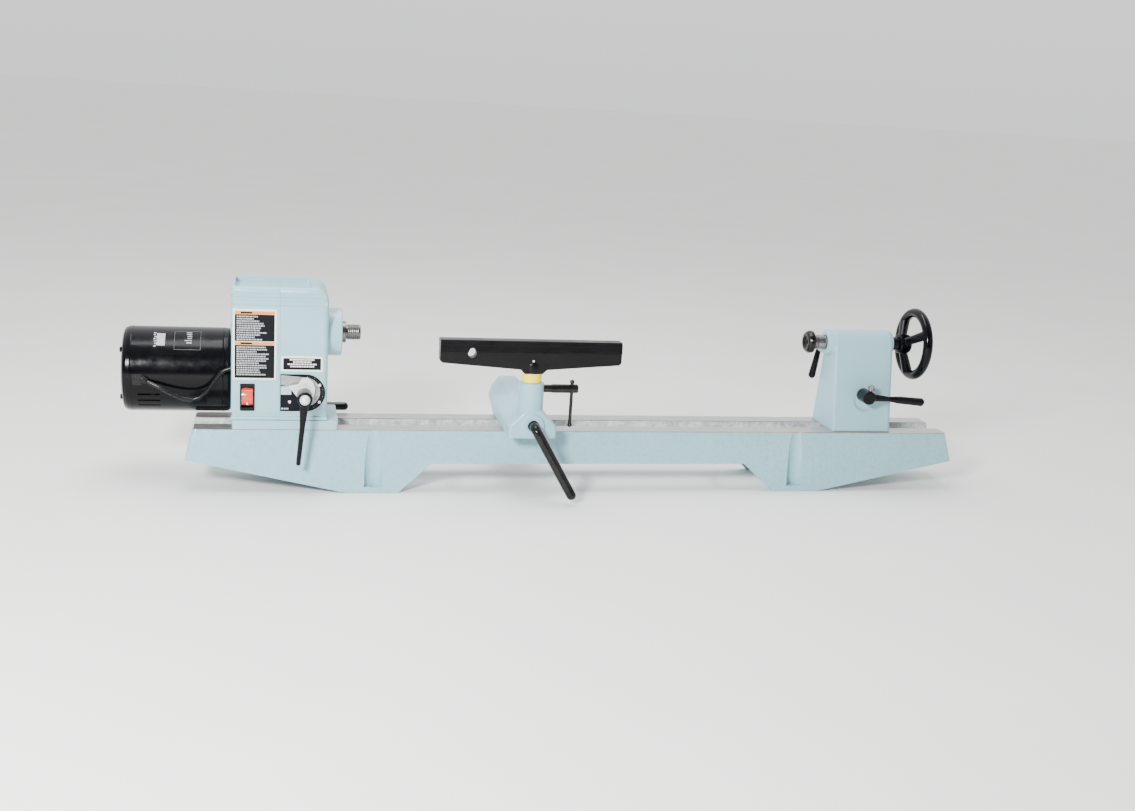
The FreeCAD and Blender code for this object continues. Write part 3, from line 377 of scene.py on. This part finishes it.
def turned(name, profile, centre, body, material, along="X", steps=96):
    """Surface of revolution about X or Y; profile holds (place along the axis, radius)."""
    verts, faces, rings = [], [], []
    for place, radius in profile:
        ring = []
        count = 1 if radius < 1e-7 else steps
        for i in range(count):
            angle = 2 * math.pi * i / steps
            a, b = radius * math.cos(angle), radius * math.sin(angle)
            if along == "X":
                point = (place, centre[0] + a, centre[1] + b)
            else:
                point = (centre[0] + a, place, centre[1] + b)
            ring.append(len(verts))
            verts.append(point)
        rings.append(ring)
    for one, two in zip(rings, rings[1:]):
        for i in range(steps):
            a, b = one[i % len(one)], one[(i + 1) % len(one)]
            c, d = two[(i + 1) % len(two)], two[i % len(two)]
            corners = []
            for corner in (a, b, c, d):
                if corner not in corners:
                    corners.append(corner)
            if len(corners) > 2:
                faces.append(tuple(corners))
    return mesh_piece(name, verts, faces, body, material)


def outline_plate(name, points, y0, y1, body, material):
    """Flat plate in the X-Z plane from an outline, between two Y planes."""
    count = len(points)
    verts = [(x, y0, z) for x, z in points] + [(x, y1, z) for x, z in points]
    faces = [tuple(range(count)), tuple(range(2 * count - 1, count - 1, -1))]
    for i in range(count):
        j = (i + 1) % count
        faces.append((i, j, count + j, count + i))
    mesh_piece(name, verts, faces, body, material, smooth=False)


def add_bevel(piece, width, segments):
    bevel = piece.modifiers.new("edges", "BEVEL")
    bevel.width = width
    bevel.segments = segments
    bevel.limit_method = "ANGLE"
    bevel.angle_limit = SHARP_ANGLE
    bevel.harden_normals = True


def soften(node, width, segments=3):
    """Rounds the sharp edges of a CAD node with modifiers only."""
    piece = nodes[node]
    weld = piece.modifiers.new("weld", "WELD")
    weld.merge_threshold = 0.00001
    add_bevel(piece, width, segments)


def cast_copy(node, body, material, voxel, rounds=4):
    """A cast-looking stand-in for a CAD node: remeshed, so its inner corners fill and outer ones wear."""
    source = nodes[node]
    piece = bpy.data.objects.new(node + "_cast", source.data.copy())
    bpy.context.scene.collection.objects.link(piece)
    remesh = piece.modifiers.new("remesh", "REMESH")
    remesh.mode = "VOXEL"
    remesh.voxel_size = voxel
    remesh.use_smooth_shade = True
    smooth = piece.modifiers.new("smooth", "SMOOTH")
    smooth.factor = 0.5
    smooth.iterations = rounds
    bpy.context.view_layer.update()
    graph = bpy.context.evaluated_depsgraph_get()
    mesh = bpy.data.meshes.new_from_object(piece.evaluated_get(graph), depsgraph=graph)
    piece.modifiers.clear()
    piece.data = mesh
    mesh.materials.clear()
    mesh.materials.append(material)
    mesh.shade_smooth()
    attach(piece, body)
    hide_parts(node)


def finish_node(material, *names):
    for name in names:
        piece = nodes[name]
        piece.data.materials.clear()
        piece.data.materials.append(material)


# ---- pieces -------------------------------------------------------------------------------------
def make_bed(looks):
    finish_node(looks["bed"], "bed")
    soften("bed", 0.0016)


def make_headstock(looks):
    finish_node(looks["paint"], "headstock_casting", "headstock_drive_housing", "headstock_base")
    soften("headstock_casting", 0.0012)
    soften("headstock_drive_housing", 0.0012)
    soften("headstock_base", 0.001)


def text_lines(rng, x0, x1, z_top, z_low, step, height, centred=False):
    """Rows of short bars that stand for small print without saying anything."""
    rows, z = [], z_top
    while z - height > z_low:
        width = (x1 - x0) * rng.uniform(0.45, 0.97)
        start = (x0 + x1 - width) / 2 if centred else x0
        place = start
        while place < start + width:
            word = min(rng.uniform(0.0016, 0.0048), start + width - place)
            rows.append((place, place + word, z - height, z))
            place += word + 0.0008
        z -= step
    return rows


ROW_STEP = 0.0037          # from one row of print to the next


def make_plates(looks):
    rng = random.Random(7)
    ink, print_white = looks["print_black"], looks["print_white"]
    finish_node(print_white, "warning_plate", "notice_plate")
    low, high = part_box("warning_plate")
    front = low.y
    border = 0.0032
    x0, x1 = low.x + border, high.x - border
    split = low.z + (high.z - low.z) * 0.545
    header = 0.0056
    thin = 0.00012
    panels, headers, heads, lines = [], [], [], []
    for top, bottom in ((high.z - border, split + 0.0004), (split - 0.0004, low.z + border)):
        headers.append(((x0, front - thin, top - header), (x1, front, top)))
        panels.append(((x0, front - thin, bottom), (x1, front, top - header)))
        heads.append(((x0 + 0.009, front - 2 * thin, top - header + 0.0014),
                      (x0 + 0.027, front - thin, top - 0.0014)))
        rows = text_lines(rng, x0 + 0.003, x1 - 0.006, top - header - 0.0022, bottom + 0.0015,
                          ROW_STEP, 0.0021)
        for row in rows:
            lines.append(((row[0], front - 2 * thin, row[2]), (row[1], front - thin, row[3])))
    bars("warning_panels", panels, "headstock", ink)
    bars("warning_headers", headers, "headstock", looks["print_amber"])
    bars("warning_header_marks", heads, "headstock", ink)
    bars("warning_rows", lines, "headstock", looks["print_grey"])
    low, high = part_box("notice_plate")
    front = low.y
    x0, x1, z0, z1 = low.x + border, high.x - border, low.z + border, high.z - border
    bars("notice_panel", [((x0, front - thin, z0), (x1, front, z1))], "headstock", ink)
    rows = text_lines(rng, x0 + 0.002, x1 - 0.002, z1 - 0.0012, z0 + 0.001, ROW_STEP, 0.0022, centred=True)
    boxes = [((r[0], front - 2 * thin, r[2]), (r[1], front - thin, r[3])) for r in rows]
    bars("notice_rows", boxes, "headstock", print_white)
    soften("warning_plate", 0.0002, 1)
    soften("notice_plate", 0.0002, 1)


def arc_points(centre, radius, start, stop, count):
    points = []
    for i in range(count + 1):
        angle = math.radians(start + (stop - start) * i / count)
        points.append((centre[0] + radius * math.cos(angle), centre[1] + radius * math.sin(angle)))
    return points


def make_dial(looks):
    finish_node(looks["print_black"], "speed_dial_plate")
    finish_node(looks["bright"], "dial_screws")
    low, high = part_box("speed_dial_plate")
    front = low.y
    radius = (high.z - low.z) / 2
    centre = (high.x - radius, low.z + radius)
    thin = 0.00015
    edge = low.x + 0.0008
    scale_r = radius * 0.80
    scale_centre = (centre[0] - 0.002, centre[1] + 0.0015)
    arc = arc_points(scale_centre, scale_r, 92, -62, 30)
    inner = arc_points(scale_centre, scale_r * 0.36, -62, 150, 20)
    outline = [(edge, high.z - 0.0015)] + arc + inner + [(edge, centre[1] + 0.013)]
    outline_plate("dial_scale", outline, front - thin, front, "headstock", looks["dial_grey"])
    ticks = []
    for i in range(19):
        angle = math.radians(86 - i * 8.2)
        across = 0.00032 if i % 3 else 0.0006
        r0, r1 = radius * 0.87, radius * (0.9 if i % 3 else 0.93)
        out = Vector((math.cos(angle), math.sin(angle)))
        side = Vector((-out.y, out.x)) * across
        middle = Vector(centre)
        near, far = middle + out * r0, middle + out * r1
        ticks.append([near + side, far + side, far - side, near - side])
    verts, faces = [], []
    for quad in ticks:
        base = len(verts)
        for depth in (front - thin, front):
            verts.extend([(p.x, depth, p.y) for p in quad])
        faces.extend([(base, base + 1, base + 2, base + 3), (base + 7, base + 6, base + 5, base + 4)])
        for k in range(4):
            faces.append((base + k, base + (k + 1) % 4, base + 4 + (k + 1) % 4, base + 4 + k))
    mesh_piece("dial_ticks", verts, faces, "headstock", looks["print_faint"], smooth=False)
    window_top = centre[1] + 0.0105
    window = ((edge, front - thin, centre[1] - 0.003), (edge + 0.0165, front, window_top))
    bars("dial_window", [window], "headstock", looks["dial_blue"])
    rng = random.Random(3)
    rows = text_lines(rng, edge + 0.001, edge + 0.021, low.z + 0.0055, low.z + 0.001, 0.004, 0.0026)
    boxes = [((r[0], front - thin, r[2]), (r[1], front, r[3])) for r in rows]
    bars("dial_rows", boxes, "headstock", looks["print_grey"])


SWITCH_PIVOT = (-0.0465, 0.1565)      # the rocker's axis, in Y and Z


def make_switch(looks):
    finish_node(looks["switch_black"], "switch_bezel")
    finish_node(looks["switch_red"], "switch_rocker")
    soften("switch_bezel", 0.0006)
    soften("switch_rocker", 0.0007)
    # a generic on mark: one upright bar on the lower half of the rocker
    low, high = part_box("switch_rocker")
    middle, depth = (low.x + high.x) / 2, 0.0004
    face_r = low.y - SWITCH_PIVOT[0]
    drop = 0.0085
    front = SWITCH_PIVOT[0] - math.sqrt(face_r * face_r - drop * drop)
    mark = [((middle - 0.0009, front - depth, SWITCH_PIVOT[1] - drop - 0.003),
             (middle + 0.0009, front + 0.002, SWITCH_PIVOT[1] - drop + 0.003))]
    bars("switch_mark", mark, "switch_rocker", looks["print_white"])


def curved_bars(name, patches, centre, radius, body, material):
    """Thin raised patches on a round shell; each is (x0, x1, first angle, last angle)."""
    verts, faces = [], []
    steps, rise = 6, 0.00025
    for x0, x1, first, last in patches:
        base = len(verts)
        for r in (radius, radius + rise):
            for x in (x0, x1):
                for i in range(steps + 1):
                    angle = math.radians(first + (last - first) * i / steps)
                    verts.append((x, centre[0] - r * math.cos(angle), centre[1] + r * math.sin(angle)))
        row = steps + 1
        low, high = base, base + 2 * row
        for i in range(steps):
            faces.append((low + i, low + i + 1, low + row + i + 1, low + row + i))
            faces.append((high + i, high + row + i, high + row + i + 1, high + i + 1))
            faces.append((low + i, high + i, high + i + 1, low + i + 1))
            faces.append((low + row + i, low + row + i + 1, high + row + i + 1, high + row + i))
        faces.append((low, low + row, high + row, high))
        faces.append((low + steps, high + steps, high + row + steps, low + row + steps))
    mesh_piece(name, verts, faces, body, material, smooth=False)


def make_motor(looks):
    finish_node(looks["motor"], "motor_shell", "motor_rear_bell", "motor_front_bell")
    finish_node(looks["steel"], "motor_bearings", "motor_shaft")
    finish_node(looks["dark"], "motor_through_bolts")
    finish_node(looks["iron"], "motor_stator", "motor_rotor")
    finish_node(looks["nameplate"], "motor_nameplate")
    finish_node(looks["cable"], "motor_cable", "cable_connector", "cable_gland", "mains_inlet_gland")
    low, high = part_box("motor_shell")
    centre = ((low.y + high.y) / 2, (low.z + high.z) / 2)
    radius = (high.z - low.z) / 2
    # rolled seams at both ends of the shell
    for name, place in (("motor_seam_rear", low.x), ("motor_seam_front", high.x)):
        profile = [(place - 0.0012, radius - 0.0008), (place - 0.0009, radius + 0.0004),
                   (place, radius + 0.0007), (place + 0.0009, radius + 0.0004),
                   (place + 0.0012, radius - 0.0008)]
        turned(name, profile, centre, "headstock", looks["motor"], steps=160)
    # generic print on the rating plate: a pale block, short rows, and the outline of a second panel
    rng = random.Random(11)
    face = radius + 0.0006
    patches = [(-0.7165, -0.7035, 44, 66)]
    for i in range(7):
        start = -0.7215 + rng.uniform(0, 0.002)
        patches.append((start, start + rng.uniform(0.002, 0.004), 42 + 4 * i, 44 + 4 * i))
    for i in range(6):
        patches.append((-0.6725 + rng.uniform(0, 0.004), -0.6615, 48 + 4 * i, 49.5 + 4 * i))
    curved_bars("nameplate_print", patches, centre, face, "headstock", looks["print_grey"])
    frame_lines = [(-0.689, -0.6885, 38, 72), (-0.648, -0.6475, 38, 72), (-0.689, -0.6475, 38, 38.5),
                   (-0.689, -0.6475, 71.5, 72)]
    curved_bars("nameplate_frame", frame_lines, centre, face, "headstock", looks["print_faint"])
    soften("motor_through_bolts", 0.0004)
    soften("cable_connector", 0.0012)


def make_spindle(looks):
    finish_node(looks["steel"], "spindle_bearings", "spindle_locknut")
    finish_node(looks["sheave"], "spindle_sheaves", "motor_sheaves")
    finish_node(looks["belt"], "drive_belt")
    low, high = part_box("spindle")
    end = high.x
    nose, collar, bore = 0.0127, 0.0175, 0.00476
    profile = [(low.x, bore), (low.x, 0.0098), (low.x + 0.0004, 0.010), (end - 0.054, 0.010),
               (end - 0.054, 0.0125), (end - 0.0346, 0.0125), (end - 0.0346, 0.0155),
               (end - 0.031, 0.0155), (end - 0.031, collar - 0.0005), (end - 0.0305, collar),
               (end - 0.0245, collar), (end - 0.024, collar - 0.0005), (end - 0.024, 0.0114),
               (end - 0.0215, 0.0114)]
    # shallow rings in place of the nose thread, then the tapered socket and the bore
    pitch, depth = 0.003175, 0.0007
    place = end - 0.0213
    while place < end - 0.0045:
        profile += [(place, nose - depth), (place + pitch * 0.42, nose), (place + pitch * 0.58, nose)]
        place += pitch
    socket = end - 0.064
    profile += [(place, nose - depth), (end - 0.0008, nose - 0.0006), (end, nose - 0.0016),
                (end, 0.0089), (socket, 0.00727), (socket, bore), (low.x, bore)]
    piece = turned("spindle_turned", profile, (0, AXIS_Z), "spindle", looks["steel"],
                   steps=128)
    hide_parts("spindle")


def make_speed_lever(looks):
    finish_node(looks["bright"], "speed_pointer", "speed_lever_nut")
    finish_node(looks["steel"], "speed_lever_shaft")
    cast_copy("speed_lever", "speed_lever", looks["lever"], 0.0006, 6)
    soften("speed_pointer", 0.0004)


def make_rods(looks):
    finish_node(looks["dark"], "headstock_lock_rod", "rest_cam_lever", "post_clamp_screw", "post_clamp_bar")
    finish_node(looks["steel"], "headstock_eyebolt", "rest_eyebolt", "tail_clamp_bolt", "tool_rest_post",
                "collar_set_screw", "tail_lock_shaft", "tail_lock_bolt", "quill_lock_stud", "lead_screw",
                "centre_arbor")
    finish_node(looks["iron"], "headstock_clamp_plate", "rest_clamp_plate", "tail_clamp_plate")
    for name in ("headstock_clamp_plate", "rest_clamp_plate", "tail_clamp_plate"):
        soften(name, 0.001)


REST_FACE = -0.0995                   # front of the tool rest's blade
REST_PIN_PLACE = (-0.1178, 0.2325)    # middle of the pin in it, in X and Z
REST_PIN_R = 0.0019


def make_rest(looks):
    cast_copy("banjo", "banjo", looks["paint"], 0.00105, 3)
    finish_node(looks["rest"], "tool_rest")
    soften("tool_rest", 0.0012)
    tip, back = REST_FACE - 0.0006, REST_FACE + 0.002
    profile = [(tip, 0), (tip, REST_PIN_R * 0.8), (REST_FACE, REST_PIN_R), (back, REST_PIN_R), (back, 0)]
    turned("rest_pin", profile, REST_PIN_PLACE, "tool_rest", looks["bright"], along="Y",
           steps=32)
    finish_node(looks["yellow"], "height_collar")
    soften("height_collar", 0.0008)


def make_tailstock(looks):
    cast_copy("tailstock", "tailstock", looks["paint"], 0.0012, 5)
    finish_node(looks["bright_steel"], "quill")
    finish_node(looks["centre"], "live_centre_head")
    cast_copy("tail_lock_lever", "tail_lock", looks["lever"], 0.0006, 8)
    cast_copy("quill_lock_lever", "quill_lock", looks["lever"], 0.0007, 6)
    cast_copy("handwheel", "handwheel", looks["wheel"], 0.0009, 10)
    finish_node(looks["wheel"], "handwheel_collar")
    soften("live_centre_head", 0.0004)


def make_looks():
    return {
        "bed": casting_paint("bed_enamel_and_ways", lumps=0.55, grit=0.16, mottle=0.42, ways=True),
        "paint": casting_paint("casting_enamel", lumps=0.14),
        "motor": gloss_black("motor_enamel", rough=0.15, shade=6),
        "lever": gloss_black("lever_enamel", rough=0.22, shade=9, peel=0.03),
        "wheel": gloss_black("wheel_enamel", rough=0.12, shade=6),
        "rest": satin_black("rest_paint"),
        "steel": turned_steel("turned_steel", light=112),
        "bright_steel": turned_steel("ground_steel", light=142, rough=0.2, brown=0.25),
        "centre": turned_steel("centre_steel", light=48, rough=0.2, brown=0.0),
        "bright": plain("bright_plate", srgb(232, 234, 236), rough=0.32, metal=0.35, speck=90, vary=0.04),
        "dark": dark_steel("blackened_steel"),
        "iron": plain("bare_iron", srgb(92, 91, 90), rough=0.6, metal=0.7, speck=70, vary=0.2, bump=0.1),
        "sheave": plain("die_cast", srgb(165, 166, 168), rough=0.4, metal=1.0, speck=120),
        "belt": plain("belt_rubber", srgb(30, 30, 31), rough=0.75, speck=150, vary=0.25, bump=0.08),
        "cable": plain("cable_rubber", srgb(10, 10, 12), rough=0.25, speck=120, vary=0.2, specular=0.25),
        "nameplate": plain("nameplate_print", srgb(8, 8, 10), rough=0.2, speck=50, vary=0.2, specular=0.18),
        "print_black": plain("print_black", srgb(8, 10, 16), rough=0.4, speck=80, vary=0.15, specular=0.15),
        "print_faint": plain("print_faint", srgb(88, 92, 98), rough=0.5, speck=80, vary=0.1),
        "print_white": plain("print_white", srgb(236, 236, 232), rough=0.45, speck=40, vary=0.04),
        "print_grey": plain("print_grey", srgb(168, 170, 176), rough=0.5, speck=300, vary=0.2),
        "print_amber": plain("print_amber", srgb(226, 148, 66), rough=0.45, speck=60, vary=0.08),
        "dial_grey": plain("dial_grey", srgb(150, 152, 152), rough=0.4, metal=0.3, speck=260, vary=0.35),
        "dial_blue": plain("dial_blue", srgb(178, 202, 214), rough=0.4, speck=200, vary=0.1),
        "switch_black": plain("switch_black", srgb(9, 9, 12), rough=0.3, speck=90, vary=0.2, specular=0.2),
        "switch_red": plain("switch_red", srgb(214, 62, 46), rough=0.3, speck=60, vary=0.06, coat=0.25),
        "yellow": plain("collar_yellow", srgb(255, 238, 8), rough=0.42, speck=60, vary=0.03, coat=0.1),
    }


make_camera()
make_studio()
looks = make_looks()
make_bed(looks)
make_headstock(looks)
make_plates(looks)
make_dial(looks)
make_switch(looks)
make_motor(looks)
make_spindle(looks)
make_speed_lever(looks)
make_rods(looks)
make_rest(looks)
make_tailstock(looks)
